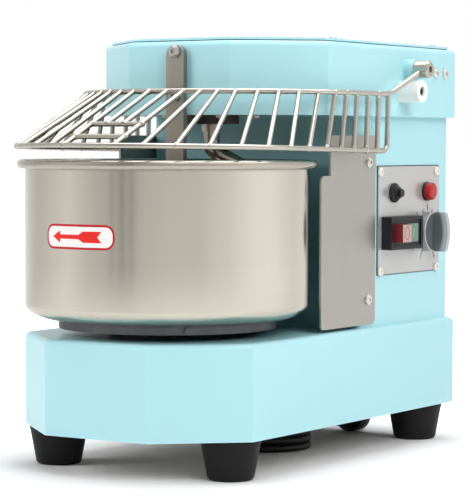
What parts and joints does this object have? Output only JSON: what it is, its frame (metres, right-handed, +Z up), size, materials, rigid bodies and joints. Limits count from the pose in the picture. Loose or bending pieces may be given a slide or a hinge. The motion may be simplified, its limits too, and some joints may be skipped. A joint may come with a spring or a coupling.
{
  "type": "spiral dough mixer",
  "caption": "Countertop spiral dough mixer: bowl on a turntable in an octagonal-nosed base, spiral and divider bar under a belt-drive head, hinged wire guard, side controls.",
  "frame": {"origin": "on the ground, under the middle of the machine's box", "axes": "+Z up, -Y towards the bowl side, +X the machine's right side, where the controls are"},
  "size_m": [0.3016, 0.5374, 0.3962],
  "materials": {
    "paint": "satin pale turquoise paint",
    "zinc": "zinc plated, satin",
    "rubber": "moulded matt black rubber",
    "gasket": "dark soft seal",
    "stainless": "spun and brushed stainless steel",
    "plate": "satin stainless sheet",
    "panel": "satin light grey plate",
    "screw_caps": "off-white domed screw head",
    "black_plastic": "moulded, matt",
    "stop_red": "moulded, gloss",
    "start_green": "moulded, gloss",
    "lamp_red": "clear red lens",
    "knob": "smoky translucent plastic",
    "wire": "bright nickel plated wire",
    "white_nylon": "white nylon",
    "cast": "machined cast iron",
    "bearing_brown": "dark brown primer",
    "motor_grey": "grey enamel",
    "belt": "black rubber",
    "cord": "black rubber sheath"
  },
  "bodies": {
    "housing": {"base_shell": "paint", "base_floor": "zinc", "foot_front_left": "rubber", "foot_front_right": "rubber", "foot_rear_left": "rubber", "foot_rear_right": "rubber", "foot_screws": "zinc", "column_shell": "paint", "head_shell": "paint", "lid_gasket": "gasket", "head_lid": "paint", "lid_screws": "zinc", "divider_bar": "stainless", "divider_bolts": "zinc", "bowl_plate_right": "plate", "bowl_plate_left": "plate", "m6_screws": "zinc", "panel_seal": "gasket", "control_plate": "panel", "panel_screws": "screw_caps", "switch_housing": "black_plastic", "reset_nut": "black_plastic", "lamp_bezel": "black_plastic", "lamp_lens": "lamp_red", "timer_body": "black_plastic", "interlock_switch": "black_plastic", "interlock_bracket": "zinc", "head_side_screws": "screw_caps", "buffer_bushes": "white_nylon", "bush_screws": "zinc", "bowl_bearing": "cast", "spiral_bearing": "bearing_brown", "counter_bearings": "cast", "motor": "motor_grey", "motor_plate": "zinc", "drive_belts": "belt", "cord_gland": "black_plastic", "cord_lead": "cord", "cord_coil": "cord", "cord_tail": "cord", "plug": "black_plastic"},
    "bowl_unit": {"bowl": "stainless", "turntable": "cast", "bowl_shaft": "zinc", "bowl_pulley": "cast"},
    "spiral_unit": {"spiral": "stainless", "spiral_shaft": "stainless", "spiral_pulley": "cast"},
    "countershaft_unit": {"countershaft": "zinc", "counter_pulleys": "cast"},
    "motor_rotor_unit": {"motor_rotor": "zinc"},
    "guard": {"guard_hoops": "wire", "guard_bars": "wire", "guard_collars": "wire", "pivot_shaft": "zinc", "interlock_cam": "white_nylon"},
    "stop_push": {"stop_button": "stop_red"},
    "start_push": {"start_button": "start_green"},
    "reset_push": {"reset_button": "black_plastic"},
    "timer_turn": {"timer_knob": "knob"}
  },
  "joints": [
    {"name": "bowl_spin", "type": "hinge", "parent": "housing", "child": "bowl_unit", "pos_m": [0, -0.095, 0.1], "axis": [0, 0, 1], "continuous": true},
    {"name": "countershaft_spin", "type": "hinge", "parent": "housing", "child": "countershaft_unit", "pos_m": [0, 0.075, 0.1], "axis": [0, 0, 1], "continuous": true},
    {"name": "spiral_spin", "type": "hinge", "parent": "housing", "child": "spiral_unit", "pos_m": [0, -0.022, 0.33], "axis": [0, 0, 1], "continuous": true},
    {"name": "motor_spin", "type": "hinge", "parent": "housing", "child": "motor_rotor_unit", "pos_m": [0, 0.16, 0.1], "axis": [0, 0, 1], "continuous": true},
    {"name": "guard_tilt", "type": "hinge", "parent": "housing", "child": "guard", "pos_m": [0, 0.133, 0.3685], "axis": [-1, 0, 0], "range_deg": [0, 84]},
    {"name": "stop_press", "type": "slide", "parent": "housing", "child": "stop_push", "axis": [-1, 0, 0], "range_m": [0, 0.004], "stiffness_N_per_m": 800},
    {"name": "start_press", "type": "slide", "parent": "housing", "child": "start_push", "axis": [-1, 0, 0], "range_m": [0, 0.003], "stiffness_N_per_m": 800},
    {"name": "reset_press", "type": "slide", "parent": "housing", "child": "reset_push", "axis": [-1, 0, 0], "range_m": [0, 0.003], "stiffness_N_per_m": 700},
    {"name": "timer_turn_joint", "type": "hinge", "parent": "housing", "child": "timer_turn", "pos_m": [0.12, 0.187, 0.2097], "axis": [-1, 0, 0], "range_deg": [0, 300]}
  ],
  "couplings": [
    {"joint": "countershaft_spin", "follows": "bowl_spin", "ratio": 5},
    {"joint": "spiral_spin", "follows": "bowl_spin", "ratio": 7.5},
    {"joint": "motor_spin", "follows": "bowl_spin", "ratio": 20}
  ]
}
